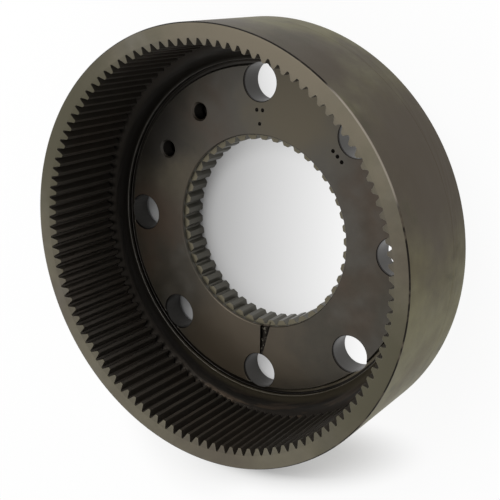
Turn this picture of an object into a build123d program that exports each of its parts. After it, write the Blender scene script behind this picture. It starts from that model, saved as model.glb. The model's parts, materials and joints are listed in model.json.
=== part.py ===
from build123d import *
import math
import os

os.makedirs("parts", exist_ok=True)

# Internal ring gear: a one-piece steel cup. The ring carries straight internal teeth, and a
# thick web across its back has a splined centre bore, a circle of large holes and two tapped
# holes. It lies on its hub face: +Z is the gear axis, towards the open toothed end, and +Y
# points at the place in the circle of holes that has none.

# Internal gear teeth
ring_teeth = 115
ring_module = 2.5
ring_pressure_angle = 25.0
ring_addendum = 0.7  # in modules
ring_dedendum = 1.1  # in modules
ring_clocking = 1.1  # degrees from +X to the middle of a tooth space
tooth_length = 65.6

# Splined bore
spline_teeth = 46
spline_module = 3.0
spline_pressure_angle = 30.0
spline_root_height = 4 / 3  # in modules, outside the pitch circle
spline_depth = 1.1  # in modules, from the roots in to the tooth tips
spline_shift = 0.45  # profile shift in modules
spline_clocking = 0.9  # degrees from +X to the middle of a spline space
spline_backlash = 0.1

# Ring wall, and the run-out below the teeth
rim_wall = 10.5  # behind the tooth roots
runout_depth = 4.7  # from the tooth ends to the crest round the web
runout_wall = 1.4  # straight wall under the tooth ends, before the channel curves in
runout_clearance = 0.9  # of that wall outside the tooth roots
channel_width = 18.4  # from the tooth roots in to the crest
channel_sag = 1.4  # the middle of the channel lies this far under the crest

# Web and hub
crest_height = 1.9  # over the web face
crest_edge = 0.3
groove_width = 3.6
groove_sink = 2.1  # below the web face
web_thickness = 19.5
hub_proud = 2.5  # the hub face stands behind the back of the web
hub_land = 15.0  # width of the hub face outside the spline roots

# Circle of large holes, with one place left out
hole_places = 8
blank_place = 2  # counted from +X in steps of one place
hole_d = 28.0
hole_to_crest = 2.25  # from the edge of a hole out to the crest

# Two tapped holes beside the blank place
tap_drill_d = 12.0
tap_thread_d = 14.0
tap_point_angle = 118.0  # of the drill point at the floor
tap_floor = 1.5  # web left behind the drill point
tap_inset = 9.7  # from the circle of large holes in to the tapped holes
tap_angle = 12.6  # either side of the blank place

# Tapered relief from the spline to one of the large holes. Its axis runs through the middle of
# the hole, swung off the radial line.
relief_place = 5
relief_mouth_d = 9.7
relief_tip_d = 2.3
relief_swing = 8.0

# Edge breaks
outer_front_edge = 1.2
outer_back_edge = 6.0
tooth_mouth_edge = 2.2  # axial depth of the tooth-end bevel at the tip circle
tooth_mouth_over = 0.25  # reach of that bevel outside the tooth roots
spline_mouth_depth = 3.5  # counterbore from the web face down to the ends of the spline teeth
spline_mouth_over = 0.4  # clearance of the counterbore outside the spline roots
spline_mouth_edge = 0.9
spline_front_edge = 0.5
spline_back_edge = 0.5
hole_edge = 0.8
hub_edge = 0.8

# Punch marks: diameters at the web face and at the tip, depth, spacing, and the distance of
# the first row from its hole
punch_d = 3.0
punch_tip_d = 0.5
punch_depth = 1.2
punch_pitch = 5.0
punch_inset = 6.0

# How far a cutter runs past the face that it cuts through
overrun = 0.5

# Radii of the gear
ring_pitch_r = ring_module * ring_teeth / 2
tip_r = ring_pitch_r - ring_addendum * ring_module
root_r = ring_pitch_r + ring_dedendum * ring_module
outer_r = root_r + rim_wall
runout_r = root_r + runout_clearance
crest_r = root_r - channel_width
groove_r = crest_r - groove_width

# Radii of the spline and hub
spline_pitch_r = spline_module * spline_teeth / 2
spline_root_r = spline_pitch_r + spline_root_height * spline_module
spline_tip_r = spline_root_r - spline_depth * spline_module
spline_mouth_r = spline_root_r + spline_mouth_over
hub_r = spline_root_r + hub_land

# Heights over the hub face
web_back = hub_proud
web_face = web_back + web_thickness
spline_end = web_face - spline_mouth_depth
crest_z = web_face + crest_height
tooth_end = crest_z + runout_depth
front = tooth_end + tooth_length

# Places of the holes
place_angle = 360 / hole_places
blank_angle = blank_place * place_angle
hole_r = hole_d / 2
hole_circle_r = crest_r - hole_to_crest - hole_r
hole_inner_r = hole_circle_r - hole_r
tap_circle_r = hole_circle_r - tap_inset


def involute(angle):
    return math.tan(angle) - angle


def polar(radius, angle):
    return Vector(radius * math.cos(angle), radius * math.sin(angle))


def space_half_angle(radius, pitch_r, pressure_angle, space_width):
    """Half the angle a tooth space fills at a radius; its two sides are involutes."""
    pressure = math.radians(pressure_angle)
    base_r = pitch_r * math.cos(pressure)
    at_radius = math.acos(min(1.0, base_r / radius))
    return space_width / (2 * pitch_r) + involute(pressure) - involute(at_radius)


def toothed_outline(teeth, pitch_r, pressure_angle, space_width, tip, root, clocking):
    """Closed outline of an internal toothed bore: flanks, flat roots and tip lands.

    A flank is the arc through three points of its involute, which it leaves by under a micron.
    """
    radii = [tip, (tip + root) / 2, root]
    halves = [space_half_angle(r, pitch_r, pressure_angle, space_width) for r in radii]
    pitch = 2 * math.pi / teeth
    edges = []
    for index in range(teeth):
        middle = math.radians(clocking) + index * pitch
        rising = [polar(r, middle - half) for r, half in zip(radii, halves)]
        falling = [polar(r, middle + half) for r, half in zip(radii, halves)]
        falling.reverse()
        next_start = polar(tip, middle + pitch - halves[0])
        edges.append(ThreePointArc(*rising))
        edges.append(Line(rising[-1], falling[0]))
        edges.append(ThreePointArc(*falling))
        edges.append(ThreePointArc(falling[-1], polar(tip, middle + pitch / 2), next_start))
    return Face(Wire(edges))


def turned(points):
    """A solid turned about +Z from the closed outline through (radius, height) points."""
    outline = Polyline(*[(r, 0, z) for r, z in points], close=True)
    return revolve(Face(Wire(outline.edges())), Axis.Z)


def turned_body():
    """Half section of the cup turned about +Z, with both bores at their tooth tips."""
    wall_foot = tooth_end - runout_wall
    channel_mid = Vector((runout_r + crest_r) / 2, 0, crest_z - channel_sag)
    groove_z = web_face - groove_sink
    up = [
        (spline_tip_r, spline_back_edge),
        (spline_tip_r + spline_back_edge, 0),
        (hub_r - hub_edge, 0),
        (hub_r, hub_edge),
        (hub_r, web_back),
        (outer_r - outer_back_edge, web_back),
        (outer_r, web_back + outer_back_edge),
        (outer_r, front - outer_front_edge),
        (outer_r - outer_front_edge, front),
        (root_r + tooth_mouth_over, front),
        (tip_r, front - tooth_mouth_edge),
        (tip_r, tooth_end),
        (runout_r, tooth_end),
        (runout_r, wall_foot),
    ]
    down = [
        (crest_r, crest_z),
        (crest_r - crest_edge, crest_z - crest_edge),
        (crest_r - crest_edge, groove_z),
        (groove_r, groove_z),
        (groove_r - groove_sink / 2, web_face),
        (spline_mouth_r + spline_mouth_edge, web_face),
        (spline_mouth_r, web_face - spline_mouth_edge),
        (spline_mouth_r, spline_end),
        (spline_tip_r, spline_end - spline_front_edge),
        (spline_tip_r, spline_back_edge),
    ]
    section = Wire(
        [
            *Polyline(*[(r, 0, z) for r, z in up]).edges(),
            ThreePointArc((runout_r, 0, wall_foot), channel_mid, (crest_r, 0, crest_z)),
            *Polyline(*[(r, 0, z) for r, z in down]).edges(),
        ]
    )
    return revolve(Face(section), Axis.Z)


def ring_spaces():
    """The tooth spaces of the internal gear, as one solid to cut away."""
    space_width = math.pi * ring_module / 2
    outline = toothed_outline(
        ring_teeth,
        ring_pitch_r,
        ring_pressure_angle,
        space_width,
        tip_r,
        root_r,
        ring_clocking,
    )
    return Pos(0, 0, tooth_end - overrun) * extrude(outline, tooth_length + 2 * overrun)


def spline_spaces():
    """The spaces of the splined bore, as one solid to cut away."""
    pressure = math.radians(spline_pressure_angle)
    shift_width = 2 * spline_shift * spline_module * math.tan(pressure)
    space_width = math.pi * spline_module / 2 + shift_width + spline_backlash
    outline = toothed_outline(
        spline_teeth,
        spline_pitch_r,
        spline_pressure_angle,
        space_width,
        spline_tip_r,
        spline_root_r,
        spline_clocking,
    )
    return Pos(0, 0, -overrun) * extrude(outline, spline_end + 2 * overrun)


def large_hole():
    """A large hole through the web, chamfered at both faces and clear behind the web."""
    flare = hole_r + hole_edge
    return turned(
        [
            (0, -overrun),
            (flare, -overrun),
            (flare, web_back),
            (hole_r, web_back + hole_edge),
            (hole_r, web_face - hole_edge),
            (flare, web_face),
            (flare, crest_z + overrun),
            (0, crest_z + overrun),
        ]
    )


def tapped_hole():
    """A blind drilled hole with a drill-point floor and a mouth chamfered to thread size."""
    drill_r = tap_drill_d / 2
    mouth = tap_thread_d / 2 - drill_r
    point = web_back + tap_floor
    point_height = drill_r / math.tan(math.radians(tap_point_angle / 2))
    return turned(
        [
            (0, point),
            (drill_r, point + point_height),
            (drill_r, web_face - mouth),
            (drill_r + mouth + overrun, web_face + overrun),
            (0, web_face + overrun),
        ]
    )


def large_holes():
    places = [place for place in range(hole_places) if place != blank_place]
    drilled = Pos(hole_circle_r, 0, 0) * large_hole()
    return [Rot(0, 0, place * place_angle) * drilled for place in places]


def tapped_holes():
    drilled = Pos(tap_circle_r, 0, 0) * tapped_hole()
    return [Rot(0, 0, blank_angle + side * tap_angle) * drilled for side in (-1, 1)]


def spline_relief():
    """A half-cone sunk in the web face, wide at the spline and narrow at a large hole."""
    length = hole_inner_r - spline_tip_r
    cone = Cone(relief_mouth_d / 2, relief_tip_d / 2, length)
    lying = Pos(-hole_r - length / 2, 0, 0) * Rot(0, 90, 0) * cone
    swung = Pos(hole_circle_r, 0, web_face) * Rot(0, 0, -relief_swing) * lying
    return Rot(0, 0, relief_place * place_angle) * swung


def punch_mark(radius, angle):
    """One conical centre-punch mark in the web face."""
    flare = (punch_d - punch_tip_d) / 2 * overrun / punch_depth
    cone = Cone(punch_tip_d / 2, punch_d / 2 + flare, punch_depth + overrun)
    height = web_face + (overrun - punch_depth) / 2
    return Rot(0, 0, angle) * Pos(radius, 0, height) * cone


def punch_marks():
    """Groups of punch marks beside two of the large holes."""
    row_r = hole_inner_r - punch_inset
    step = math.degrees(punch_pitch / row_r)
    first = blank_angle - place_angle
    second = blank_angle - 2 * place_angle
    return [
        punch_mark(row_r, first - step / 2),
        punch_mark(row_r, first + step / 2),
        punch_mark(row_r - 2 * punch_pitch, first),
        punch_mark(row_r, second - step),
        punch_mark(row_r, second),
        punch_mark(row_r, second + step),
    ]


def ring_gear():
    body = turned_body() - ring_spaces() - spline_spaces()
    cutters = large_holes() + tapped_holes() + [spline_relief()] + punch_marks()
    for cutter in cutters:
        body -= cutter
    return body


gear = ring_gear()
export_step(gear, "parts/ring_gear.step")
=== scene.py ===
import json
import math

import bmesh
import bpy
from bpy.props import FloatProperty, FloatVectorProperty, IntProperty, PointerProperty
from mathutils import Matrix, Vector


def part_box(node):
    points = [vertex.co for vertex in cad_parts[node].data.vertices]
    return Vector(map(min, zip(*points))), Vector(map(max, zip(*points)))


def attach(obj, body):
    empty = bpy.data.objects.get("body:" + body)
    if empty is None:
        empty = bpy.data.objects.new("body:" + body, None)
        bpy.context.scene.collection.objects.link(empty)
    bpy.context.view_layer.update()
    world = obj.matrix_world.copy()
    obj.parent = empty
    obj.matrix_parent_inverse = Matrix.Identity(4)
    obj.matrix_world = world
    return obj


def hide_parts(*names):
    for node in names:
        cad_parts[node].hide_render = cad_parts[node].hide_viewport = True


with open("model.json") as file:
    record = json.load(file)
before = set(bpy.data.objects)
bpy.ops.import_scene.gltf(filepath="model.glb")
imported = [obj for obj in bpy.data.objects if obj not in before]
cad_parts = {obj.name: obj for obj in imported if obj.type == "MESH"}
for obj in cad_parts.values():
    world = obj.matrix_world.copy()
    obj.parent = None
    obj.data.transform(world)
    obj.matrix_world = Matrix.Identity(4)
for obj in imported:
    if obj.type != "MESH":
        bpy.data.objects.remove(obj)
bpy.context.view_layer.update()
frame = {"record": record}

bl_info = {
    "name": "Internal Ring Gear",
    "version": (1, 0, 0),
    "blender": (4, 5, 0),
    "location": "View3D > Sidebar > Ring Gear",
    "description": "Builds a blackened internal ring gear with a splined web, and its studio",
    "category": "Add Mesh",
}

# Shop units: every size below is in millimetres and becomes metres where a vertex is placed.
MM = 0.001
NODE = "ring_gear"
SLOT = frame["record"]["materials"][0]["slot"]
LOW, HIGH = (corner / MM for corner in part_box(NODE))
OUTER_R = min(HIGH.x, -LOW.x, HIGH.y, -LOW.y)
FRONT = HIGH.z


def number(name, description, default):
    return FloatProperty(name=name, description=description, default=default)


def tint(name, description, default):
    return FloatVectorProperty(name=name, description=description, subtype="COLOR", size=3, default=default)


class TurnedSettings(bpy.types.PropertyGroup):
    """Sizes of the turned cup, in millimetres."""

    steps: IntProperty(name="Steps", description="Faces round the turned body", default=230)
    rim_wall: number("Rim wall", "Wall behind the tooth roots", 10.5)
    tooth_length: number("Tooth length", "Face width of the teeth", 65.6)
    runout_depth: number("Run-out depth", "Tooth ends to crest", 4.7)
    runout_wall: number("Run-out wall", "Straight wall under the teeth", 1.4)
    runout_clearance: number("Run-out clearance", "Outside the roots", 0.9)
    channel_width: number("Channel width", "Roots in to the crest", 18.4)
    channel_sag: number("Channel sag", "Middle under the crest", 1.4)
    crest_height: number("Crest height", "Over the web face", 1.9)
    groove_width: number("Groove width", "Groove inside the crest", 3.6)
    groove_sink: number("Groove sink", "Below the web face", 2.1)
    web_thickness: number("Web thickness", "Plate across the back", 19.5)
    hub_proud: number("Hub proud", "Hub face behind the web", 2.5)
    hub_land: number("Hub land", "Hub face outside the spline", 15.0)
    front_edge: number("Front edge", "Chamfer at the rim face", 1.2)
    back_edge: number("Back edge", "Chamfer behind the rim", 6.0)


class ToothSettings(bpy.types.PropertyGroup):
    """The two sets of involute teeth, in millimetres and degrees."""

    ring_teeth: IntProperty(name="Teeth", description="Internal gear teeth", default=115)
    ring_module: number("Module", "Module of the gear", 2.5)
    ring_pressure: number("Pressure angle", "Of the gear, degrees", 25.0)
    ring_addendum: number("Addendum", "Pitch circle in to the tips", 1.75)
    ring_clocking: number("Clocking", "+X to a tooth space", 1.1)
    spline_teeth: IntProperty(name="Splines", description="Teeth of the bore", default=46)
    spline_module: number("Spline module", "Module of the bore", 3.0)
    spline_pressure: number("Spline angle", "Of the spline, degrees", 30.0)
    spline_shift: number("Spline shift", "Profile shift, in modules", 0.45)
    spline_height: number("Root height", "Pitch circle out to the roots", 4.0)
    spline_depth: number("Spline depth", "Roots in to the tooth tips", 3.3)
    spline_clocking: number("Spline clocking", "+X to a spline space", 0.9)
    mouth_edge: number("Mouth bevel", "Depth at the tooth tips", 2.2)
    mouth_over: number("Mouth reach", "Bevel past the roots", 0.25)
    spline_sink: number("Spline sink", "Web face to the spline ends", 3.5)
    spline_over: number("Spline clearance", "Mouth outside the roots", 0.4)
    spline_mouth: number("Spline mouth", "Chamfer at the web face", 0.9)
    spline_edge: number("Spline bevel", "Fall of the spline ends", 0.5)
    tooth_break: number("Tooth break", "Broken edge of a tooth", 0.22)


class HoleSettings(bpy.types.PropertyGroup):
    """Holes and marks in the web, in millimetres and degrees."""

    places: IntProperty(name="Places", description="Places in the circle of holes", default=8)
    blank_place: IntProperty(name="Blank place", description="Place with no hole", default=2)
    hole_d: number("Large hole", "Diameter of a large hole", 28.0)
    hole_to_crest: number("Hole to crest", "Metal outside a hole", 2.25)
    hole_edge: number("Hole chamfer", "At both web faces", 0.8)
    drill_d: number("Tapping drill", "Diameter under the thread", 12.0)
    thread_d: number("Thread", "Diameter of the thread", 14.0)
    thread_pitch: number("Pitch", "Pitch of the thread", 2.0)
    tap_floor: number("Floor", "Web behind the drill point", 1.5)
    tap_inset: number("Tap inset", "In from the large holes", 9.7)
    tap_angle: number("Tap angle", "Either side of the blank", 12.6)
    relief_place: IntProperty(name="Relief place", description="Hole with a relief", default=5)
    relief_mouth: number("Relief mouth", "Width at the spline", 9.7)
    relief_tip: number("Relief tip", "Width at the hole", 2.3)
    relief_swing: number("Relief swing", "Off the radial line", 8.0)
    punch_d: number("Punch mark", "Diameter of a punch mark", 3.0)
    punch_depth: number("Punch depth", "Depth of a punch mark", 1.2)
    punch_pitch: number("Punch pitch", "Spacing of the marks", 5.0)
    punch_inset: number("Punch inset", "First row to the hole", 6.0)


class FinishSettings(bpy.types.PropertyGroup):
    """Colours of the blackened steel."""

    rim: tint("Rim", "Dry olive-brown of the outer faces", (0.105, 0.092, 0.060))
    brown: tint("Brown", "Browner patches of the outer faces", (0.070, 0.055, 0.037))
    # Random grey mottling of the outer faces, and the colour of the painted glints in the relief and of the
    # painted highlight on the lip.
    grey: tint("Grey", "Rubbed patches of the outer faces", (0.125, 0.115, 0.092))
    # Painted shade: a near-black laid where shade falls, in the recesses, the groove, the deep channel and on
    # the outer chamfer.
    skin: tint("Skin", "Dark skin of the recesses and outer chamfer", (0.015, 0.013, 0.011))
    # Used for stains on the side, and as painted reflection in darker patches of the rim.
    stained_and_shaded: tint("Stained", "Dark olive stain on the rim", (0.056, 0.049, 0.025))
    # Painted reflection: the lighter stretch of the rim.
    lit_stretch: tint("Rubbed", "Lighter stretch of the rim", (0.145, 0.122, 0.084))
    # Painted highlight on one stretch of the chamfer.
    edge_highlight: tint("Worn edge", "Rubbed stretch of the outer chamfer", (0.24, 0.21, 0.17))
    web: tint("Web", "Satin black-brown of the web", (0.044, 0.038, 0.028))
    # Greyer hole walls, in part their own finish and in part painted light.
    bored_and_lit: tint("Bored", "Greyer walls of the large holes", (0.072, 0.068, 0.063))
    splined: tint("Splined", "Olive-grey of the spline", (0.115, 0.109, 0.090))
    flank: tint("Flank", "Worked grey-black of the tooth flanks", (0.058, 0.051, 0.042))
    oiled: tint("Oiled", "Oiled black of the groove and channel", (0.022, 0.019, 0.015))
    stain: tint("Stain", "Brown heat tint in the black", (0.058, 0.041, 0.028))
    # Random blue-grey mottling, and also painted reflection on the web and a painted highlight on the crest.
    haze_and_sheen: tint("Haze", "Blue-grey bloom in the black", (0.064, 0.059, 0.050))
    # Painted reflection on the web, and a painted highlight in the channel by the crest.
    sheen: tint("Bloom", "Dry patch of the web", (0.082, 0.069, 0.046))
    # Colour of the worn edges, which also stands in for painted highlights along them.
    bright: tint("Bright", "Bare steel at worn edges", (0.42, 0.40, 0.37))


class StageSettings(bpy.types.PropertyGroup):
    """Camera, floor and lamps."""

    eye: FloatVectorProperty(
        name="Camera", description="Place of the camera", subtype="TRANSLATION", unit="LENGTH", size=3,
        default=(0.399690, -0.133687, 0.581776),
    )
    aim: FloatVectorProperty(
        name="Aim", description="Direction of view", subtype="DIRECTION", size=3,
        default=(-0.586578, 0.182086, -0.789158),
    )
    up: FloatVectorProperty(
        name="Up", description="Top of the picture", subtype="DIRECTION", size=3,
        default=(0.563061, 0.792072, -0.235762),
    )
    lens: number("Lens", "Focal length, mm", 67.44)
    floor: tint("Floor", "Pale floor", (0.95, 0.95, 0.95))
    glow: number("Glow", "Share of the floor seen as plain white", 0.9)
    world: number("World", "Strength of the soft light", 0.72)
    key: number("Key", "Power of the key lamp, watts", 12.0)
    fill: number("Back", "Power of the back lamp, watts", 1.0)


# Small edges of the turned body, in millimetres.
CREST_LEAN = 0.3
CREST_ROUND = 0.35
GROOVE_ROUND = 0.4
LIP_ROUND = 0.3
HUB_ROUND = 0.8
SPLINE_BACK_EDGE = 0.5

# Vertices this close are one, and this close to a circle are on it, in metres.
MERGE = 1e-7
NEAR = 1e-6

# Cutters stand this far past the metal, in millimetres.
SPARE = 1.0

# Faces round the holes and along the curves.
CHANNEL_STEPS = 12
FLANK_STEPS = 3
LARGE_HOLE_STEPS = 72
TAPPED_HOLE_STEPS = 40
RELIEF_STEPS = 32
PUNCH_STEPS = 20

DRILL_POINT = math.radians(118)
SMOOTH_ANGLE = math.radians(32)


# ---------------------------------------------------------------- mesh helpers


def at(radius, angle, height):
    """A point in metres from a radius and height in millimetres and an angle in radians."""
    return Vector((radius * math.cos(angle), radius * math.sin(angle), height)) * MM


def involute(angle):
    return math.tan(angle) - angle


def arc_points(start, through, end, count):
    """Points strictly between start and end on the circle through the three (radius, height)s."""
    (ax, ay), (bx, by), (cx, cy) = start, through, end
    d = 2 * (ax * (by - cy) + bx * (cy - ay) + cx * (ay - by))
    a2, b2, c2 = ax * ax + ay * ay, bx * bx + by * by, cx * cx + cy * cy
    ox = (a2 * (by - cy) + b2 * (cy - ay) + c2 * (ay - by)) / d
    oy = (a2 * (cx - bx) + b2 * (ax - cx) + c2 * (bx - ax)) / d
    radius = math.hypot(ax - ox, ay - oy)
    first, last = math.atan2(ay - oy, ax - ox), math.atan2(cy - oy, cx - ox)
    turns = [first + (last - first) * k / count for k in range(1, count)]
    return [(ox + radius * math.cos(t), oy + radius * math.sin(t)) for t in turns]


def spun(profile, steps, closed=True):
    """A bmesh turned about +Z from (radius, height) points; a closed profile makes a ring."""
    bm = bmesh.new()
    verts = [bm.verts.new(at(r, 0, z)) for r, z in profile]
    pairs = list(zip(verts, verts[1:]))
    if closed:
        pairs.append((verts[-1], verts[0]))
    edges = [bm.edges.new(pair) for pair in pairs]
    bmesh.ops.spin(
        bm, geom=verts + edges, cent=(0, 0, 0), axis=(0, 0, 1), dvec=(0, 0, 0),
        angle=math.tau, steps=steps, use_merge=True, use_duplicate=False,
    )
    bmesh.ops.remove_doubles(bm, verts=bm.verts, dist=MERGE)
    bmesh.ops.recalc_face_normals(bm, faces=bm.faces)
    return bm


def round_circle(bm, radius, height, size, segments):
    """Rounds or chamfers the turned edge that runs at this radius and height."""
    ring = [
        v for v in bm.verts
        if abs(v.co.z - height * MM) < NEAR and abs(v.co.xy.length - radius * MM) < NEAR
    ]
    chosen = set(ring)
    edges = {e for v in ring for e in v.link_edges if e.other_vert(v) in chosen}
    bmesh.ops.bevel(
        bm, geom=list(edges), offset=size * MM, offset_type="OFFSET", segments=segments,
        profile=0.5, affect="EDGES", material=-1, clamp_overlap=True,
    )


def turned_copies(bm, angles):
    """Copies of a bmesh turned about +Z by each angle, as one bmesh."""
    whole = bmesh.new()
    mesh = bpy.data.meshes.new("copy")
    for angle in angles:
        one = bm.copy()
        bmesh.ops.transform(one, matrix=Matrix.Rotation(angle, 4, "Z"), verts=one.verts)
        one.to_mesh(mesh)
        one.free()
        whole.from_mesh(mesh)
    bpy.data.meshes.remove(mesh)
    bm.free()
    return whole


def repeated(bm, count, places=None, offset=0.0):
    """Copies of a bmesh at its places in a circle about +Z, as one bmesh."""
    places = range(count) if places is None else places
    return turned_copies(bm, [offset + place * math.tau / count for place in places])


def as_object(bm, name):
    mesh = bpy.data.meshes.new(name)
    bm.to_mesh(mesh)
    bm.free()
    obj = bpy.data.objects.new(name, mesh)
    bpy.context.scene.collection.objects.link(obj)
    return obj


def cut(obj, cutters):
    """Cuts the closed shapes of a bmesh away from an object and keeps the cut mesh."""
    tool = as_object(cutters, "cutter")
    modifier = obj.modifiers.new("cut", "BOOLEAN")
    modifier.operation = "DIFFERENCE"
    modifier.solver = "EXACT"
    modifier.object = tool
    graph = bpy.context.evaluated_depsgraph_get()
    mesh = bpy.data.meshes.new_from_object(obj.evaluated_get(graph))
    obj.modifiers.clear()
    old, obj.data = obj.data, mesh
    bpy.data.meshes.remove(old)
    worn = tool.data
    bpy.data.objects.remove(tool)
    bpy.data.meshes.remove(worn)


# ---------------------------------------------------------------- sizes that follow


class Sizes:
    """Radii and heights worked out from the settings and the frame, in millimetres."""

    def __init__(self, scene):
        turned, teeth, holes = scene.gear_turned, scene.gear_teeth, scene.gear_holes
        self.pitch_r = teeth.ring_module * teeth.ring_teeth / 2
        self.tip_r = self.pitch_r - teeth.ring_addendum
        self.root_r = OUTER_R - turned.rim_wall
        self.mouth_r = self.root_r + teeth.mouth_over
        self.mouth_slope = teeth.mouth_edge / (self.mouth_r - self.tip_r)
        self.runout_r = self.root_r + turned.runout_clearance
        self.crest_r = self.root_r - turned.channel_width
        self.groove_r = self.crest_r - turned.groove_width
        self.lip_r = self.groove_r - turned.groove_sink / 2
        self.spline_pitch_r = teeth.spline_module * teeth.spline_teeth / 2
        self.spline_root_r = self.spline_pitch_r + teeth.spline_height
        self.spline_tip_r = self.spline_root_r - teeth.spline_depth
        self.spline_mouth_r = self.spline_root_r + teeth.spline_over
        self.hub_r = self.spline_root_r + turned.hub_land
        self.web_back = turned.hub_proud
        self.tooth_end = FRONT - turned.tooth_length
        self.crest_z = self.tooth_end - turned.runout_depth
        self.web_face = self.crest_z - turned.crest_height
        self.groove_z = self.web_face - turned.groove_sink
        self.spline_end = self.web_face - teeth.spline_sink
        self.hole_r = holes.hole_d / 2
        self.hole_circle = self.crest_r - holes.hole_to_crest - self.hole_r
        self.hole_inner = self.hole_circle - self.hole_r
        self.tap_circle = self.hole_circle - holes.tap_inset


# ---------------------------------------------------------------- the gear


def turned_cup(scene, sizes):
    """The cup as it leaves the lathe, with both bores at their tooth tips.

    The profile holds radii and heights, and where an edge is rounded, the size and the faces of that.
    """
    turned, teeth = scene.gear_turned, scene.gear_teeth
    foot = (sizes.runout_r, sizes.tooth_end - turned.runout_wall)
    crest = (sizes.crest_r, sizes.crest_z)
    middle = ((foot[0] + crest[0]) / 2, sizes.crest_z - turned.channel_sag)
    profile = [
        (sizes.spline_tip_r, 0, SPLINE_BACK_EDGE, 1),
        (sizes.hub_r, 0, HUB_ROUND, 3),
        (sizes.hub_r, sizes.web_back, HUB_ROUND, 3),
        (OUTER_R, sizes.web_back, turned.back_edge, 1),
        (OUTER_R, FRONT, turned.front_edge, 3),
        (sizes.mouth_r, FRONT),
        (sizes.tip_r, FRONT - teeth.mouth_edge),
        (sizes.tip_r, sizes.tooth_end),
        (sizes.runout_r, sizes.tooth_end),
        foot,
        *arc_points(foot, middle, crest, CHANNEL_STEPS),
        (*crest, CREST_ROUND, 3),
        (sizes.crest_r - CREST_LEAN, sizes.groove_z, GROOVE_ROUND, 3),
        (sizes.groove_r, sizes.groove_z, GROOVE_ROUND, 3),
        (sizes.lip_r, sizes.web_face, LIP_ROUND, 3),
        (sizes.spline_mouth_r + teeth.spline_mouth, sizes.web_face, LIP_ROUND, 2),
        (sizes.spline_mouth_r, sizes.web_face - teeth.spline_mouth, LIP_ROUND, 2),
        (sizes.spline_mouth_r, sizes.spline_end),
        (sizes.spline_tip_r, sizes.spline_end - teeth.spline_edge),
    ]
    bm = spun([point[:2] for point in profile], turned.steps)
    for radius, height, *rounding in profile:
        if rounding:
            round_circle(bm, radius, height, *rounding)
    return as_object(bm, "gear_body")


# The corners of a tooth space's root: their share of its depth, the share of its width that stays flat
# between them, and how far the flat stays inside the root circle, in millimetres.
CORNER_SHARE = 0.12
ROOT_SHARE = 0.7
ROOT_LIFT = 0.02


def space_outline(pitch_r, pressure, width, tip, root, edge, grow):
    """One tooth space seen along the axis, as (radius, angle) points from flank to flank.

    edge breaks the corners of the teeth at their tips, and grow widens the whole space. The flanks end a
    little short of the root, and a short slope on each side leads from there into its corner.
    """
    base_r = pitch_r * math.cos(pressure)

    def half(radius):
        at_radius = math.acos(min(1.0, base_r / radius))
        return width / (2 * pitch_r) + involute(pressure) - involute(at_radius) + grow / radius

    flank_end = root - CORNER_SHARE * (root - tip)
    first = tip + edge
    flank = [first + (flank_end - first) * k / FLANK_STEPS for k in range(FLANK_STEPS + 1)]
    side = [(tip - edge, half(tip) + 2 * edge / tip)]
    side += [(r, half(r)) for r in flank]
    side.append((root + 0.75 * grow - ROOT_LIFT, ROOT_SHARE * half(flank_end)))
    return [(r, a) for r, a in side] + [(r, -a) for r, a in reversed(side)]


def tooth_space(outline, start, face, slope, mouth_r, edge):
    """A closed cutter for one tooth space, lofted along the axis from a start to past a face.

    outline is all that space_outline takes but edge and grow. The tooth ends slope down from the face inside
    mouth_r, and edge breaks their corners there.
    """
    bm = bmesh.new()
    loops = []
    for grow, rise in ((0, None), (0, -edge), (2 * edge, edge), (2 * edge, None)):
        flat = face + SPARE if loops else start
        loop = []
        for r, a in space_outline(*outline, edge, grow):
            height = flat if rise is None else face - slope * max(0.0, mouth_r - r) + rise
            loop.append(bm.verts.new(at(r, a, height)))
        loops.append(loop)
    bm.faces.new(reversed(loops[0]))
    bm.faces.new(loops[-1])
    for low, high in zip(loops, loops[1:]):
        rim = []
        for loop in (low, high):
            for a, b in zip(loop, loop[1:] + loop[:1]):
                rim.append(bm.edges.get((a, b)) or bm.edges.new((a, b)))
        bmesh.ops.bridge_loops(bm, edges=rim)
    bmesh.ops.recalc_face_normals(bm, faces=bm.faces)
    return bm


def gear_spaces(scene, sizes):
    """All tooth spaces of the internal gear."""
    teeth = scene.gear_teeth
    width = math.pi * teeth.ring_module / 2
    outline = (sizes.pitch_r, math.radians(teeth.ring_pressure), width, sizes.tip_r, sizes.root_r)
    start = sizes.tooth_end - SPARE / 2
    one = tooth_space(outline, start, FRONT, sizes.mouth_slope, sizes.mouth_r, teeth.tooth_break)
    return repeated(one, teeth.ring_teeth, offset=math.radians(teeth.ring_clocking))


def spline_spaces(scene, sizes):
    """All spaces of the splined bore."""
    teeth = scene.gear_teeth
    slope = teeth.spline_edge / (sizes.spline_mouth_r - sizes.spline_tip_r)
    pressure = math.radians(teeth.spline_pressure)
    shift = 2 * teeth.spline_shift * teeth.spline_module * math.tan(pressure)
    width = math.pi * teeth.spline_module / 2 + shift
    outline = (sizes.spline_pitch_r, pressure, width, sizes.spline_tip_r, sizes.spline_root_r)
    one = tooth_space(outline, -SPARE, sizes.spline_end, slope, sizes.spline_mouth_r, teeth.tooth_break)
    return repeated(one, teeth.spline_teeth, offset=math.radians(teeth.spline_clocking))


def drilled(profile, radius, steps):
    """A cutter turned from a profile whose ends lie on its own axis, moved out to a radius."""
    bm = spun(profile, steps, closed=False)
    bmesh.ops.translate(bm, vec=(radius * MM, 0, 0), verts=bm.verts)
    return bm


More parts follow.
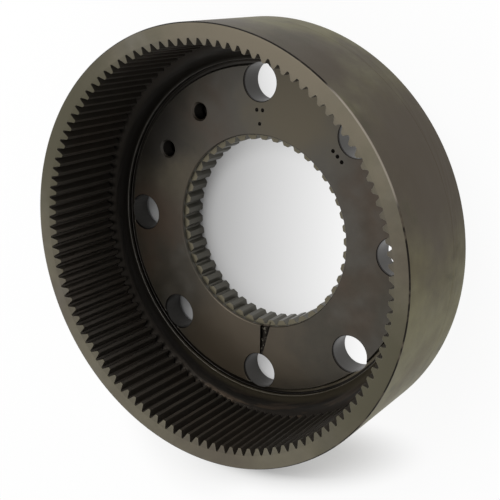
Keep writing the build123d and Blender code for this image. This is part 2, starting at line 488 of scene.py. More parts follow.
def large_holes(scene, sizes):
    """The circle of large holes, chamfered at both faces of the web, with its one place left blank."""
    holes = scene.gear_holes
    flare = sizes.hole_r + holes.hole_edge
    bend = 0.3 * holes.hole_edge
    profile = [
        (0, -SPARE),
        (flare, -SPARE),
        (flare, sizes.web_back),
        (sizes.hole_r, sizes.web_back + holes.hole_edge),
        (sizes.hole_r, sizes.web_face - holes.hole_edge),
        (sizes.hole_r + bend, sizes.web_face - bend),
        (flare, sizes.web_face),
        (flare, sizes.crest_z + SPARE),
        (0, sizes.crest_z + SPARE),
    ]
    places = [p for p in range(holes.places) if p != holes.blank_place]
    return repeated(drilled(profile, sizes.hole_circle, LARGE_HOLE_STEPS), holes.places, places)


# The mouth of a tapped hole stands this far outside its thread, in millimetres, and the root of the thread
# is flat over this share of the pitch.
THREAD_MOUTH = 0.4
THREAD_FLAT = 0.1


def tapped_holes(scene, sizes):
    """Blind holes with a drill-point floor and the grooves of their thread."""
    holes = scene.gear_holes
    drill_r, thread_r = holes.drill_d / 2, holes.thread_d / 2
    mouth = thread_r + THREAD_MOUTH - drill_r
    floor = sizes.web_back + holes.tap_floor + drill_r / math.tan(DRILL_POINT / 2)
    profile = [(0, sizes.web_back + holes.tap_floor), (drill_r, floor)]
    count = int((sizes.web_face - mouth - floor) / holes.thread_pitch) - 1
    start = sizes.web_face - mouth - count * holes.thread_pitch
    for turn in range(count):
        low = start + turn * holes.thread_pitch
        profile += [
            (drill_r, low),
            (thread_r, low + (0.5 - THREAD_FLAT / 2) * holes.thread_pitch),
            (thread_r, low + (0.5 + THREAD_FLAT / 2) * holes.thread_pitch),
        ]
    profile += [
        (drill_r, sizes.web_face - mouth),
        (drill_r + mouth + SPARE, sizes.web_face + SPARE),
        (0, sizes.web_face + SPARE),
    ]
    blank = math.tau * holes.blank_place / holes.places
    swing = math.radians(holes.tap_angle)
    one = drilled(profile, sizes.tap_circle, TAPPED_HOLE_STEPS)
    return turned_copies(one, [blank - swing, blank + swing])


def spline_relief(scene, sizes):
    """A half-cone sunk in the web face between the spline and one large hole."""
    holes = scene.gear_holes
    length = sizes.hole_inner - sizes.spline_tip_r
    bm = bmesh.new()
    bmesh.ops.create_cone(
        bm, cap_ends=True, segments=RELIEF_STEPS, radius1=holes.relief_mouth / 2 * MM,
        radius2=holes.relief_tip / 2 * MM, depth=length * MM,
    )
    inward = Matrix.Translation((-(sizes.hole_r + length / 2) * MM, 0, 0))
    lie = inward @ Matrix.Rotation(math.pi / 2, 4, "Y")
    swing = Matrix.Rotation(-math.radians(holes.relief_swing), 4, "Z")
    out = Matrix.Translation((sizes.hole_circle * MM, 0, sizes.web_face * MM))
    turn = Matrix.Rotation(math.tau * holes.relief_place / holes.places, 4, "Z")
    bmesh.ops.transform(bm, matrix=turn @ out @ swing @ lie, verts=bm.verts)
    return bm


PUNCH_TIP_R = 0.15


def punch_marks(scene, sizes):
    """Plain centre-punch marks beside two of the large holes."""
    holes = scene.gear_holes
    row = sizes.hole_inner - holes.punch_inset
    step = holes.punch_pitch / row
    first = math.tau * (holes.blank_place - 1) / holes.places
    second = math.tau * (holes.blank_place - 2) / holes.places
    marks = [
        (row, first - step / 2),
        (row, first + step / 2),
        (row - 2 * holes.punch_pitch, first),
        (row, second - step),
        (row, second),
        (row, second + step),
    ]
    bm = bmesh.new()
    depth, above = holes.punch_depth, SPARE / 2
    for radius, angle in marks:
        place = Matrix.Translation(at(radius, angle, sizes.web_face + (above - depth) / 2))
        bmesh.ops.create_cone(
            bm, cap_ends=True, segments=PUNCH_STEPS, radius1=PUNCH_TIP_R * MM,
            radius2=holes.punch_d / 2 * (1 + above / depth) * MM,
            depth=(depth + above) * MM, matrix=place,
        )
    return bm


# ---------------------------------------------------------------- finish


class Nodes:
    """Places shader nodes and links them by socket name."""

    def __init__(self, tree):
        self.tree = tree
        self.column = 0

    def add(self, kind, links=None, **values):
        node = self.tree.nodes.new(kind)
        self.column += 1
        node.location = (180 * self.column, -60 * (self.column % 5))
        for name, value in values.items():
            setattr(node, name, value)
        for socket, value in (links or {}).items():
            if isinstance(value, bpy.types.NodeSocket):
                self.tree.links.new(value, node.inputs[socket])
            else:
                node.inputs[socket].default_value = value
        return node

    def math(self, operation, a, b=0.0, clamp=False):
        return self.add("ShaderNodeMath", {0: a, 1: b}, operation=operation, use_clamp=clamp).outputs[0]

    def step(self, value, low, high):
        """0 below low and 1 above high, smooth between."""
        links = {"Value": value, "From Min": low, "From Max": high}
        node = self.add("ShaderNodeMapRange", links, interpolation_type="SMOOTHSTEP")
        return node.outputs["Result"]

    def span(self, value, low, high):
        """A fraction from 0 to 1 stretched between two values."""
        links = {"Value": value, "To Min": low, "To Max": high}
        return self.add("ShaderNodeMapRange", links).outputs["Result"]

    def mix(self, factor, a, b):
        node = self.add("ShaderNodeMix", {0: factor, 6: a, 7: b}, data_type="RGBA")
        return node.outputs[2]

    def noise(self, vector, scale, detail=4.0, roughness=0.5):
        links = {"Vector": vector, "Scale": scale, "Detail": detail, "Roughness": roughness}
        return self.add("ShaderNodeTexNoise", links).outputs["Fac"]

    def vector(self, operation, a, b=(0, 0, 0), output="Vector"):
        return self.add("ShaderNodeVectorMath", {0: a, 1: b}, operation=operation).outputs[output]

    def dot(self, vector, direction):
        return self.vector("DOT_PRODUCT", vector, direction, "Value")

    def both(self, *masks):
        """The product of masks or numbers."""
        product = masks[0]
        for mask in masks[1:]:
            product = self.math("MULTIPLY", product, mask)
        return product

    def either(self, *masks):
        """The greatest of masks."""
        most = masks[0]
        for mask in masks[1:]:
            most = self.math("MAXIMUM", most, mask)
        return most

    def without(self, mask, other):
        return self.math("SUBTRACT", mask, other)

    def between(self, factor, a, b):
        """A number between two others."""
        return self.add("ShaderNodeMix", {0: factor, 2: a, 3: b}, data_type="FLOAT").outputs[0]

    def times(self, a, b):
        """One colour multiplied by another."""
        links = {0: 1.0, 6: a, 7: b}
        return self.add("ShaderNodeMix", links, data_type="RGBA", blend_type="MULTIPLY").outputs[2]


def group(name, inputs, outputs):
    """A shader node group with named sockets and their kinds, and its inside ready to fill."""
    tree = bpy.data.node_groups.new(name, "ShaderNodeTree")
    for way, sockets in (("INPUT", inputs), ("OUTPUT", outputs)):
        for label, kind in sockets.items():
            tree.interface.new_socket(label, in_out=way, socket_type="NodeSocket" + kind)
    nodes = Nodes(tree)
    return tree, nodes, nodes.add("NodeGroupInput"), nodes.add("NodeGroupOutput")


def mottling_group():
    """Cloudy change from one colour to two others, as in a hot-blackened finish."""
    tree, nodes, start, end = group(
        "Mottling",
        {"Vector": "Vector", "Base": "Color", "Warm": "Color", "Cool": "Color", "Amount": "Float"},
        {"Color": "Color", "Cloud": "Float"},
    )
    vector, amount = start.outputs["Vector"], start.outputs["Amount"]
    broad = nodes.noise(vector, 14.0, 3.0, 0.55)
    warm = nodes.both(nodes.step(broad, 0.47, 0.68), amount)
    cool = nodes.step(nodes.noise(vector, 22.0, 3.0, 0.5), 0.50, 0.72)
    cool = nodes.both(cool, amount)
    colour = nodes.mix(warm, start.outputs["Base"], start.outputs["Warm"])
    colour = nodes.mix(cool, colour, start.outputs["Cool"])
    grain = nodes.span(nodes.noise(vector, 90.0, 6.0, 0.65), 0.72, 1.28)
    grey = nodes.add("ShaderNodeCombineColor", {0: grain, 1: grain, 2: grain}).outputs[0]
    tree.links.new(nodes.times(colour, grey), end.inputs["Color"])
    tree.links.new(broad, end.inputs["Cloud"])
    return tree


def lathe_group():
    """Fine circles left by a turning tool, and where a point lies round the gear axis."""
    tree, nodes, start, end = group(
        "Lathe",
        {"Vector": "Vector", "Pitch": "Float"},
        {"Height": "Float", "Radius": "Float", "Heading": "Vector", "Streak": "Float"},
    )
    parts = nodes.add("ShaderNodeSeparateXYZ", {"Vector": start.outputs["Vector"]})
    flat = nodes.add("ShaderNodeCombineXYZ", {"X": parts.outputs["X"], "Y": parts.outputs["Y"]})
    radius = nodes.vector("LENGTH", flat.outputs[0], output="Value")
    along = nodes.add("ShaderNodeCombineXYZ", {"X": radius, "Y": parts.outputs["Z"]}).outputs[0]
    scale = nodes.math("DIVIDE", 1.0, start.outputs["Pitch"])
    heading = nodes.vector("NORMALIZE", flat.outputs[0])
    tree.links.new(nodes.noise(along, scale, 2.0, 0.5), end.inputs["Height"])
    tree.links.new(radius, end.inputs["Radius"])
    tree.links.new(heading, end.inputs["Heading"])
    slow = nodes.add("ShaderNodeVectorMath", {0: heading, "Scale": 0.02}, operation="SCALE")
    wound = nodes.vector("ADD", along, slow.outputs["Vector"])
    tree.links.new(nodes.noise(wound, 240.0, 3.0, 0.55), end.inputs["Streak"])
    return tree


def patch_group():
    """A ragged round patch about a centre: 1 in the middle, fading to 0 at its reach."""
    tree, nodes, start, end = group(
        "Patch",
        {"Vector": "Vector", "Centre": "Vector", "Reach": "Float"}, {"Mask": "Float"},
    )
    vector, reach = start.outputs["Vector"], start.outputs["Reach"]
    distance = nodes.vector("DISTANCE", vector, start.outputs["Centre"], "Value")
    ragged = nodes.span(nodes.noise(vector, 30.0, 5.0, 0.6), 0.2, 1.8)
    mask = nodes.step(nodes.both(distance, ragged), reach, nodes.both(reach, 0.25))
    tree.links.new(mask, end.inputs["Mask"])
    return tree


# Patches of the finish: the middle and the reach in millimetres, and the colour. Heights are over the web
# face for the web, over the rim face for the rim, and over the floor for the side.
# On the web the haze and sheen patches are painted reflection, and the last patch is darker by the rim wall.
WEB_PATCHES = (
    ((-90, -55, 0), 85, "brown"),
    ((85, 50, 0), 100, "haze_and_sheen"),
    ((88, 46, 0), 60, "sheen"),
    ((-30, 95, 0), 45, "sheen"),
    ((-75, 75, 0), 40, "stain"),
    ((-25, 120, 0), 60, "oiled"),
)
# On the rim the darker and lighter patches are painted reflection.
RIM_PATCHES = (
    ((-35, 147, 0), 120, "stained_and_shaded"),
    ((60, -140, 0), 90, "stained_and_shaded"),
    ((140, 60, 0), 110, "lit_stretch"),
)
SIDE_PATCHES = (
    ((150, 45, 84), 75, "brown"),
    ((150, -45, 45), 110, "brown"),
    ((110, 112, 88), 60, "brown"),
)

# Sides of the gear, in degrees from +X, of the painted shade in the channel and groove, the painted
# highlights by the crest and on the chamfer, and the painted reflection in the channel.
SHADED_CHANNEL_SIDE = 145
SHADED_GROOVE_SIDE = 195
LIT_CREST_SIDE = 250
GLINTING_CHANNEL_SIDE = 264
LIT_EDGE_SIDE = -9

# The middle of the relief lies this far off its hole's radial line, in degrees.
RELIEF_LEAN = 1.5

# The tooth bevels and the side as shares of the rim's colour, and the painted shade inside a thread.
BEVEL_SHADE = (0.85, 0.85, 0.85, 1)
SIDE_SHADE = (1.32, 1.36, 1.05, 1)
THREAD_SHADE = (0.005, 0.0045, 0.004, 1)

# Spacing of the turning marks and width of the worn edges, in millimetres.
LATHE_PITCH = 0.9
WEAR_WIDTH = 0.5


class SteelNodes(Nodes):
    """Nodes of the gear's steel, and what tells where on the gear a point lies."""

    def __init__(self, tree, scene, sizes):
        super().__init__(tree)
        self.scene, self.sizes = scene, sizes
        self.place = self.add("ShaderNodeTexCoord").outputs["Object"]
        parts = self.add("ShaderNodeSeparateXYZ", {0: self.place})
        self.x, self.y, self.height = parts.outputs[:3]
        links = {"Vector": self.place, "Pitch": LATHE_PITCH * MM}
        self.lathe = self.add("ShaderNodeGroup", links, node_tree=lathe_group()).outputs
        self.facing = self.add("ShaderNodeNewGeometry").outputs["Normal"]
        self.upward = self.add("ShaderNodeSeparateXYZ", {0: self.facing}).outputs["Z"]
        self.mottling = mottling_group()
        self.patch = patch_group()

    def radial(self, low, high):
        """0 to 1 from one radius to another, in millimetres."""
        return self.step(self.lathe["Radius"], low * MM, high * MM)

    def band(self, low, first, last, high):
        """1 from a first radius to a last one, and 0 inside a low and outside a high one, in millimetres."""
        return self.both(self.radial(low, first), self.radial(high, last))

    def level(self, low, high):
        """0 to 1 from one height to another, in millimetres."""
        return self.step(self.height, low * MM, high * MM)

    def rising(self, low, high):
        """0 to 1 from one upward slope to another: 0 is a wall and 1 a level face."""
        return self.step(self.upward, low, high)

    def toward(self, side, low, high):
        """0 to 1 towards one side of the gear, by the cosine of the angle off it."""
        turn = math.radians(side)
        return self.step(self.dot(self.lathe["Heading"], (math.cos(turn), math.sin(turn), 0)), low, high)

    def colour(self, name):
        return (*getattr(self.scene.gear_finish, name), 1)

    def painted(self, under, mask, name, strength=1.0):
        """A colour with one of the finish's colours laid over it where a mask says."""
        if strength < 1:
            mask = self.math("MULTIPLY", mask, strength)
        return self.mix(mask, under, self.colour(name))

    def mottled(self, base, warm, cool, amount):
        links = {"Vector": self.place, "Base": self.colour(base), "Warm": self.colour(warm),
                 "Cool": self.colour(cool), "Amount": amount}
        return self.add("ShaderNodeGroup", links, node_tree=self.mottling).outputs

    def patched(self, under, patches, floor=0.0):
        """A colour with ragged patches of others, their heights counted from a floor in millimetres."""
        for (x, y, z), reach, name in patches:
            centre = (x * MM, y * MM, (z + floor) * MM)
            links = {"Vector": self.place, "Centre": centre, "Reach": reach * MM}
            mask = self.add("ShaderNodeGroup", links, node_tree=self.patch).outputs["Mask"]
            under = self.painted(under, mask, name)
        return under


class Zones:
    """Masks, from 0 to 1, of the places where the finish differs, and where light and shade are painted."""

    def __init__(self, steel):
        self.find_outside(steel, steel.sizes)
        self.find_channel(steel, steel.sizes)
        self.find_web(steel, steel.sizes)
        self.find_recesses(steel, steel.sizes)

    def find_outside(self, steel, sizes):
        """The rim face with the bevelled ends of the teeth, the side, and the chamfer between them."""
        turned = steel.scene.gear_turned
        inward = steel.math("SUBTRACT", sizes.mouth_r * MM, steel.lathe["Radius"])
        inward = steel.math("MAXIMUM", inward, 0.0)
        lifted = steel.math("ADD", steel.height, steel.both(inward, sizes.mouth_slope))
        tooth_ends = steel.step(lifted, (FRONT - 0.4) * MM, (FRONT - 0.1) * MM)
        self.bevel = steel.step(inward, 0.0, 0.3 * MM)
        outside = steel.radial(sizes.root_r + 2, sizes.root_r + 3)
        self.dry = steel.either(tooth_ends, outside)
        self.upright = steel.rising(0.5, 0.3)
        self.side = steel.both(outside, self.upright)
        edge_r, edge_z = OUTER_R - turned.front_edge, FRONT - turned.front_edge
        self.edge = steel.both(
            steel.radial(edge_r, edge_r + 0.2), steel.level(edge_z - 0.2, edge_z),
            steel.rising(0.05, 0.15), steel.rising(0.98, 0.9),
        )
        # Painted highlight: a lighter stretch of the chamfer on one side.
        self.lit_edge = steel.toward(LIT_EDGE_SIDE, 0.955, 0.985)
        self.broken = steel.step(steel.noise(steel.place, 45.0, 4.0, 0.6), 0.50, 0.62)

    def find_channel(self, steel, sizes):
        """The worked teeth, and the oiled channel and crest under them, with the places of their painted
        shade, reflection and highlights.
        """
        self.flank = steel.level(sizes.tooth_end, sizes.tooth_end + 1)
        self.oiled = steel.radial(sizes.groove_r - 0.6, sizes.groove_r)
        deep = steel.radial(sizes.crest_r + 1, sizes.root_r - 4)
        under_teeth = steel.level(sizes.tooth_end, sizes.tooth_end - 1)
        self.drawn = steel.both(self.oiled, under_teeth)
        self.channel = steel.both(deep, under_teeth, steel.radial(sizes.root_r + 2, sizes.root_r + 1.5))
        # Painted shade in the deep channel under the teeth, and past the crest on one side.
        past_crest = steel.radial(sizes.crest_r + 1, sizes.crest_r + 3)
        self.shaded_channel = steel.either(deep, steel.both(steel.toward(SHADED_CHANNEL_SIDE, 0.2, 0.7), past_crest))
        # Painted reflection: light streaks in the channel on one side.
        streaks = steel.step(steel.lathe["Streak"], 0.52, 0.60)
        self.channel_glints = steel.both(streaks, steel.toward(GLINTING_CHANNEL_SIDE, 0.2, 0.8))
        crest_r = sizes.crest_r
        # Painted highlight: a lighter band along the crest.
        self.crest = steel.band(crest_r - 0.2, crest_r, crest_r + 0.8, crest_r + 2.4)
        # Painted highlight: the channel lighter just past the crest on one side.
        self.lit_stretch = steel.both(
            steel.toward(LIT_CREST_SIDE, 0.3, 0.8), steel.radial(crest_r + 8, crest_r + 3)
        )
        self.lips = steel.band(sizes.groove_r - 2.5, sizes.groove_r - 2.0, crest_r + 0.8, crest_r + 1.2)

    def find_web(self, steel, sizes):
        """The walls of the large holes, greyer in part as their own finish and in part as painted light, the
        spline, and the lip inside the groove with its painted highlight.
        """
        self.below = steel.level(sizes.web_face - 0.05, sizes.web_face - 0.15)
        self.wall = steel.step(steel.math("ABSOLUTE", steel.upward), 0.15, 0.05)
        short_of_crest = steel.radial(sizes.crest_r - 1.2, sizes.crest_r - 1.6)
        # The walls of the large holes are greyer, in part their own finish and in part painted light.
        self.bored_and_lit = steel.both(self.wall, self.below, short_of_crest)
        self.spline = steel.radial(sizes.spline_mouth_r + 0.15, sizes.spline_mouth_r - 0.1)
        self.spline_ends = steel.rising(0.4, 0.7)
        # Painted highlight: a light line on the lip inside the groove.
        self.lip = steel.both(
            steel.band(*(sizes.groove_r - inside for inside in (1.6, 1.3, 0.9, 0.7))),
            steel.level(sizes.web_face - 0.6, sizes.web_face - 0.3),
            steel.span(steel.noise(steel.place, 50.0), -0.2, 1.0),
        )

    def find_recesses(self, steel, sizes):
        """What lies sunk in the web face and gets painted shade: mouths, marks, relief, threads and groove,
        with painted glints in the relief.
        """
        holes = steel.scene.gear_holes
        in_web = steel.radial(sizes.lip_r - 0.1, sizes.lip_r - 0.3)
        off_spline = steel.without(
            1.0, steel.radial(sizes.spline_mouth_r + 1.5, sizes.spline_mouth_r + 1.0)
        )
        mouth_wall = steel.both(self.wall, steel.level(sizes.web_face - 2.2, sizes.web_face - 1.8))
        open_up = steel.either(steel.rising(0.05, 0.2), mouth_wall)
        self.sunk = steel.both(self.below, in_web, off_spline, open_up)

        swing = math.radians(holes.tap_angle)
        tap_x = sizes.tap_circle * math.sin(swing) + holes.thread_d
        tap_y = sizes.tap_circle * math.cos(swing) - holes.thread_d
        tapped = steel.both(
            steel.step(steel.math("ABSOLUTE", steel.x), (tap_x + 1) * MM, (tap_x - 1) * MM),
            steel.step(steel.y, (tap_y - 1) * MM, (tap_y + 1) * MM), in_web,
        )
        self.threads = steel.both(tapped, steel.level(sizes.web_face - 1.3, sizes.web_face - 1.6))
        tap_mouths = steel.both(steel.both(self.sunk, tapped), 0.85)

        # The groove gets painted shade at the foot of the crest all round, and across its floor on one side.
        groove_foot = steel.radial(sizes.crest_r - 2.1, sizes.crest_r - 1.5)
        groove = steel.both(
            self.below, steel.level(sizes.groove_z - 0.2, sizes.groove_z - 0.1),
            steel.either(groove_foot, steel.toward(SHADED_GROOVE_SIDE, 0.60, 0.90)),
            steel.band(sizes.groove_r - 1.0, sizes.groove_r - 0.7, sizes.crest_r - 0.2, sizes.crest_r - 0.1),
        )
        # Painted shade in the sunk places, the threads and the groove.
        self.shaded_recess = steel.either(steel.without(self.sunk, tap_mouths), self.threads, groove)

        relief = holes.relief_place * 360 / holes.places - RELIEF_LEAN
        # Painted glints in the relief.
        self.relief_glints = steel.both(
            self.sunk, steel.toward(relief, 0.99, 0.995),
            steel.radial(sizes.hole_inner - 1, sizes.hole_inner - 2),
            steel.step(steel.noise(steel.place, 420.0, 3.0, 0.6), 0.55, 0.62),
        )


def inside_colour(steel, zones):
    """The satin web, the oiled channel, the worked teeth, and the holes and spline cut in them, with painted
    shade, highlights and reflections.
    """
    web = steel.mottled("web", "stain", "haze_and_sheen", 0.8)["Color"]
    web = steel.patched(web, WEB_PATCHES, steel.sizes.web_face)
    oiled = steel.mottled("oiled", "stain", "oiled", 0.35)["Color"]
    # Painted shade in the channel.
    oiled = steel.painted(oiled, zones.shaded_channel, "skin")
    # Painted reflection in the channel, in the stain colour.
    oiled = steel.painted(oiled, zones.channel_glints, "stain", 0.4)
    # Painted highlight on the crest.
    oiled = steel.painted(oiled, zones.crest, "haze_and_sheen")
    # Painted highlight in the channel by the crest.
    oiled = steel.painted(oiled, zones.lit_stretch, "sheen")
    flank = steel.mottled("flank", "stain", "flank", 0.3)["Color"]
    colour = steel.mix(zones.oiled, web, oiled)
    colour = steel.mix(zones.flank, colour, flank)
    # Hole walls greyer, in part painted light.
    colour = steel.painted(colour, zones.bored_and_lit, "bored_and_lit")
    spline = steel.painted(steel.colour("splined"), zones.spline_ends, "rim")
    colour = steel.mix(zones.spline, colour, spline)
    # Painted shade laid over the recesses, threads and groove.
    colour = steel.painted(colour, zones.shaded_recess, "skin")
    # Painted shade: the threads of the blind holes laid near black.
    colour = steel.mix(zones.threads, colour, THREAD_SHADE)
    # Painted glints in the relief.
    colour = steel.painted(colour, zones.relief_glints, "grey")
    # Painted highlight on the lip.
    return steel.painted(colour, zones.lip, "grey")


def outside_colour(steel, zones):
    """The dry rim face with its tooth ends and its darker and lighter patches of painted reflection, and the
    side with olive stains.
    """
    dry = steel.mottled("rim", "brown", "grey", 0.7)["Color"]
    face = steel.times(dry, steel.mix(zones.bevel, (1, 1, 1, 1), BEVEL_SHADE))
    face = steel.patched(face, RIM_PATCHES, FRONT)
    side = steel.patched(steel.times(dry, SIDE_SHADE), SIDE_PATCHES)
    smears = steel.step(steel.noise(steel.place, 38.0, 4.0, 0.6), 0.56, 0.70)
    side = steel.painted(side, smears, "stained_and_shaded", 0.45)
    return steel.mix(zones.upright, face, side)


def edge_colour(steel, zones):
    """The chamfer round the rim face: painted shade, broken to brown, but for a stretch with a painted
    highlight.
    """
    colour = steel.painted(steel.colour("skin"), zones.broken, "brown")
    return steel.painted(colour, zones.lit_edge, "edge_highlight")


def edge_wear_and_highlight(steel, zones):
    """Lighter sharp edges, partly wear and partly painted highlight, strongest at the crest and lip, from a
    normal rounded over them.
    """
    rounded = steel.add("ShaderNodeBevel", {"Radius": WEAR_WIDTH * MM}, samples=4).outputs["Normal"]
    worn = steel.step(steel.dot(rounded, steel.facing), 0.995, 0.90)
    broken = steel.span(steel.noise(steel.place, 60.0), -0.3, 1.0)
    worn = steel.math("MULTIPLY", worn, broken, clamp=True)
    return steel.both(worn, steel.span(zones.lips, 0.28, 0.60), steel.without(1.0, zones.sunk))


def steel_roughness(steel, zones):
    """Cloudy satin, duller on the dry faces and the side."""
    cloud = steel.span(steel.mottled("web", "web", "web", 0.0)["Cloud"], 0.26, 0.44)
    dry_faces = steel.both(zones.dry, steel.rising(0.4, 0.6))
    roughness = steel.math("ADD", cloud, steel.both(dry_faces, 0.14), clamp=True)
    return steel.math("ADD", roughness, steel.both(zones.side, 0.20), clamp=True)


def steel_metallic(steel, zones):
    """A thin oxide dulls the metal outside; the recesses, channel and chamfer painted dark as shade are
    metallic and mirror nothing but what falls straight in.
    """
    # The chamfer in painted shade is made metallic to keep it dark.
    shaded_edge = steel.both(zones.edge, steel.without(1.0, zones.lit_edge), steel.span(zones.broken, 1.0, 0.5))
    side = steel.both(zones.side, 0.85)
    return steel.either(steel.span(zones.dry, 0.6, 0.3), zones.shaded_recess, zones.channel, shaded_edge, side)


def steel_bump(steel, zones):
    """Grain and turning marks over a slow waviness, with drawn streaks in the channel."""
    grain = steel.noise(steel.place, 900.0, 3.0, 0.6)
    marks = steel.math("ADD", steel.both(steel.lathe["Height"], 0.35), grain)
    fine = steel.add("ShaderNodeBump", {"Height": marks, "Strength": 0.18, "Distance": 0.0002})
    streaks = steel.both(steel.lathe["Streak"], steel.span(zones.drawn, 0.0, 0.35))
    waves = steel.math("ADD", steel.noise(steel.place, 26.0, 2.0, 0.5), streaks)
    links = {"Height": waves, "Strength": 0.32, "Distance": 0.002, "Normal": fine.outputs[0]}
    return steel.add("ShaderNodeBump", links).outputs[0]


def blackened_steel(scene, sizes):
    """Hot-blackened steel: dry and olive outside, oiled and darker inside, worn at its edges, with painted
    shade, highlights and reflections.
    """
    material = bpy.data.materials.new(SLOT)
    material.use_nodes = True
    material.node_tree.nodes.clear()
    steel = SteelNodes(material.node_tree, scene, sizes)
    zones = Zones(steel)
    colour = steel.mix(zones.dry, inside_colour(steel, zones), outside_colour(steel, zones))
    colour = steel.mix(zones.edge, colour, edge_colour(steel, zones))
    colour = steel.painted(colour, edge_wear_and_highlight(steel, zones), "bright")
    shader = steel.add("ShaderNodeBsdfPrincipled", {
        "Base Color": colour,
        "Roughness": steel_roughness(steel, zones),
        "Metallic": steel_metallic(steel, zones),
        "Normal": steel_bump(steel, zones),
    })
    output = steel.add("ShaderNodeOutputMaterial", {"Surface": shader.outputs[0]})
    output.is_active_output = True
    return material


# ---------------------------------------------------------------- operators


class GEAR_OT_make_gear(bpy.types.Operator):
    """Build the internal ring gear with its teeth, spline, holes and finish"""

    bl_idname = "gear.make_gear"
    bl_label = "Make Ring Gear"

    def execute(self, context):
        scene = context.scene
        sizes = Sizes(scene)
        gear = turned_cup(scene, sizes)
        for cutter in (gear_spaces, spline_spaces, large_holes, tapped_holes, punch_marks, spline_relief):
            cut(gear, cutter(scene, sizes))
        mesh = gear.data
        mesh.shade_smooth()
        mesh.set_sharp_from_angle(angle=SMOOTH_ANGLE)
        weighted = gear.modifiers.new("weighted_normals", "WEIGHTED_NORMAL")
        weighted.mode = "FACE_AREA"
        weighted.weight = 100
        weighted.keep_sharp = True
        mesh.materials.clear()
        mesh.materials.append(blackened_steel(scene, sizes))
        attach(gear, "root")
        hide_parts(NODE)
        return {"FINISHED"}


# The lamps and what they point at, in metres.
KEY_PLACE = (0.55, 0.95, 1.35)
BACK_PLACE = (-1.05, 0.35, 1.35)
LAMP_TARGET = (0, 0, 0.05)
LAMP_SIZE = 1.2


def area_lamp(name, place, power):
    """A large round lamp that points at the gear."""
    lamp = bpy.data.lights.new(name, "AREA")
    lamp.shape = "DISK"
    lamp.size = LAMP_SIZE
    lamp.energy = power
    obj = bpy.data.objects.new(name, lamp)
    obj.location = place
    obj.rotation_euler = (Vector(LAMP_TARGET) - Vector(place)).to_track_quat("-Z", "Y").to_euler()
    bpy.context.scene.collection.objects.link(obj)


# Painted light and shade on the floor, with places in metres. Under the bore and under the web the painted
# light brightens along a direction, between two distances from the gear's axis.
FLOOR_SIZE = 4.0
BORE_FOOT = (0.085, 0.095)
RIM_FOOT = (0.145, 0.160)
BORE_LIGHT = ((0.707, -0.707, 0), -0.070, 0.080)
WEB_LIGHT = ((0.866, -0.500, 0), -0.115, 0.090)
WEB_SHADE = ((0.866, -0.500, 0), -0.120, 0.030)
SHADE_SHARE = 0.5

# The painted soft shadow beside the gear: its middle, and the directions across its half-widths of 86 and 25
# mm.
SHADOW_MIDDLE = (-0.127, -0.145, 0)
SHADOW_LONG = (8.35, -8.17, 0)
SHADOW_SHORT = (-18.78, -35.98, 0)
# The middle of a fainter painted shadow.
FAINT_SHADOW_MIDDLE = (-0.200, -0.070, 0)


def painted_floor_shadow(nodes, place):
    """How far a point lies out of the painted soft shadow, where 1 is its edge, and how clear it is of all
    painted shadow.
    """
    off = nodes.vector("SUBTRACT", place, SHADOW_MIDDLE)
    along, across = nodes.dot(off, SHADOW_LONG), nodes.dot(off, SHADOW_SHORT)
    squares = nodes.math("ADD", nodes.both(along, along), nodes.both(across, across))
    reach = nodes.math("SQRT", squares)
    faint = nodes.vector("DISTANCE", place, FAINT_SHADOW_MIDDLE, "Value")
    clear_of_faint = nodes.span(nodes.step(faint, 0.035, 0.085), 0.4, 1.0)
    return reach, nodes.both(nodes.step(reach, 0.45, 1.50), clear_of_faint)


def floor_colour_painted_shade(nodes, colour, place, beyond_bore, open_air, reach):
    """The floor's colour with painted shade under the gear and in the painted soft shadow."""
    painted_lit = nodes.both(beyond_bore, nodes.step(nodes.dot(place, WEB_SHADE[0]), *WEB_SHADE[1:]))
    in_air = nodes.both(open_air, nodes.step(reach, 0.30, 1.00))
    shade = (*(SHADE_SHARE * c for c in colour), 1)
    shade = nodes.mix(nodes.both(open_air, 0.25), shade, (0, 0, 0, 1))
    return nodes.mix(nodes.either(painted_lit, in_air), shade, (*colour, 1))


def floor_whiteness(nodes, glow, place, beyond_bore, open_air, clear):
    """The share of plain white: full on the open floor but for the painted shadows, and falling off under the
    gear as painted shade.
    """
    direction, dark, bright = BORE_LIGHT
    links = {"Value": nodes.dot(place, direction), "From Min": dark, "From Max": bright}
    bore = nodes.add("ShaderNodeMapRange", links).outputs["Result"]
    web = nodes.step(nodes.dot(place, WEB_LIGHT[0]), *WEB_LIGHT[1:])
    under = nodes.between(beyond_bore, bore, web)
    return nodes.between(open_air, under, nodes.span(clear, 0.0, glow))


def stage_floor(colour, glow):
    """A pale floor that the eye, metal and glass see part white, with its real shadow kept and painted shadow
    and shade added.
    """
    bm = bmesh.new()
    bmesh.ops.create_grid(bm, x_segments=1, y_segments=1, size=FLOOR_SIZE)
    floor = as_object(bm, "floor")
    material = bpy.data.materials.new("pale_floor")
    material.use_nodes = True
    material.node_tree.nodes.clear()
    nodes = Nodes(material.node_tree)
    place = nodes.add("ShaderNodeTexCoord").outputs["Object"]
    from_axis = nodes.vector("LENGTH", place, output="Value")
    beyond_bore = nodes.step(from_axis, *BORE_FOOT)
    open_air = nodes.step(from_axis, *RIM_FOOT)
    reach, clear = painted_floor_shadow(nodes, place)
    # The floor's colour, with its painted shade and shadow.
    own = floor_colour_painted_shade(nodes, colour, place, beyond_bore, open_air, reach)
    matte = nodes.add("ShaderNodeBsdfDiffuse", {"Color": own})
    white = nodes.add("ShaderNodeEmission", {"Color": (1, 1, 1, 1), "Strength": 1.0})
    whiteness = floor_whiteness(nodes, glow, place, beyond_bore, open_air, clear)
    share = nodes.both(seen_directly(nodes), whiteness)
    surface = nodes.add("ShaderNodeMixShader", {0: share, 1: matte.outputs[0], 2: white.outputs[0]})
    nodes.add("ShaderNodeOutputMaterial", {"Surface": surface.outputs[0]})
    floor.data.materials.append(material)


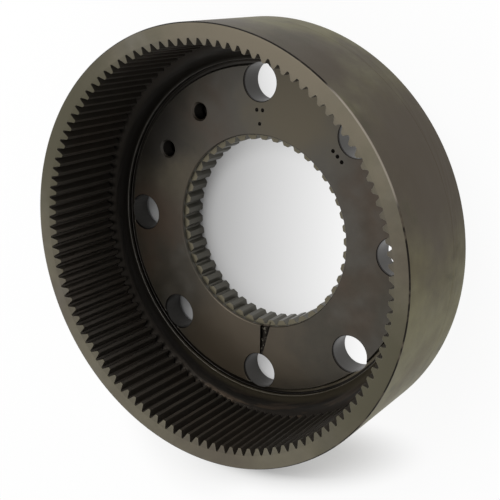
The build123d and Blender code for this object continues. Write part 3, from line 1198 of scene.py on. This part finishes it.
def seen_directly(nodes):
    """1 for the rays that show the background: the eye's own, and those off metal and through glass."""
    path = nodes.add("ShaderNodeLightPath").outputs
    return nodes.either(path["Is Camera Ray"], path["Is Glossy Ray"], path["Is Transmission Ray"])


def stage_world(strength):
    """Even soft light, which shows as white to the eye and in the metal."""
    world = bpy.data.worlds.new("studio")
    world.use_nodes = True
    nodes = Nodes(world.node_tree)
    world.node_tree.nodes.clear()
    level = nodes.span(seen_directly(nodes), strength, 1.0)
    light = nodes.add("ShaderNodeBackground", {"Color": (1, 1, 1, 1), "Strength": level})
    nodes.add("ShaderNodeOutputWorld", {"Surface": light.outputs[0]})
    bpy.context.scene.world = world


class GEAR_OT_make_stage(bpy.types.Operator):
    """Build the pale floor, the soft lamps and the camera"""

    bl_idname = "gear.make_stage"
    bl_label = "Make Studio"

    def execute(self, context):
        scene = context.scene
        stage = scene.gear_stage
        aim, up = Vector(stage.aim).normalized(), Vector(stage.up).normalized()
        side = aim.cross(up).normalized()
        up = side.cross(aim)
        camera = bpy.data.cameras.new("camera")
        camera.lens = stage.lens
        camera.sensor_width = 36.0
        camera.clip_start = 0.01
        eye = bpy.data.objects.new("camera", camera)
        turn = Matrix((side, up, -aim)).transposed().to_4x4()
        eye.matrix_world = Matrix.Translation(stage.eye) @ turn
        scene.collection.objects.link(eye)
        scene.camera = eye
        stage_floor(stage.floor, stage.glow)
        stage_world(stage.world)
        area_lamp("key", KEY_PLACE, stage.key)
        area_lamp("back", BACK_PLACE, stage.fill)
        scene.view_settings.view_transform = "Standard"
        return {"FINISHED"}


class GEAR_PT_panel(bpy.types.Panel):
    """Settings and buttons for the ring gear"""

    bl_idname = "GEAR_PT_panel"
    bl_label = "Ring Gear"
    bl_space_type = "VIEW_3D"
    bl_region_type = "UI"
    bl_category = "Ring Gear"

    def draw(self, context):
        layout = self.layout
        for name in SETTINGS:
            box = layout.box()
            group_of = getattr(context.scene, name)
            for field in group_of.__annotations__:
                box.prop(group_of, field)
        layout.operator(GEAR_OT_make_gear.bl_idname)
        layout.operator(GEAR_OT_make_stage.bl_idname)


SETTINGS = {
    "gear_turned": TurnedSettings,
    "gear_teeth": ToothSettings,
    "gear_holes": HoleSettings,
    "gear_finish": FinishSettings,
    "gear_stage": StageSettings,
}
CLASSES = (*SETTINGS.values(), GEAR_OT_make_gear, GEAR_OT_make_stage, GEAR_PT_panel)


def register():
    for cls in CLASSES:
        bpy.utils.register_class(cls)
    for name, settings in SETTINGS.items():
        setattr(bpy.types.Scene, name, PointerProperty(type=settings))


def unregister():
    for name in SETTINGS:
        delattr(bpy.types.Scene, name)
    for cls in reversed(CLASSES):
        bpy.utils.unregister_class(cls)


def main():
    register()
    bpy.ops.gear.make_gear()
    bpy.ops.gear.make_stage()


if __name__ == "__main__":
    main()
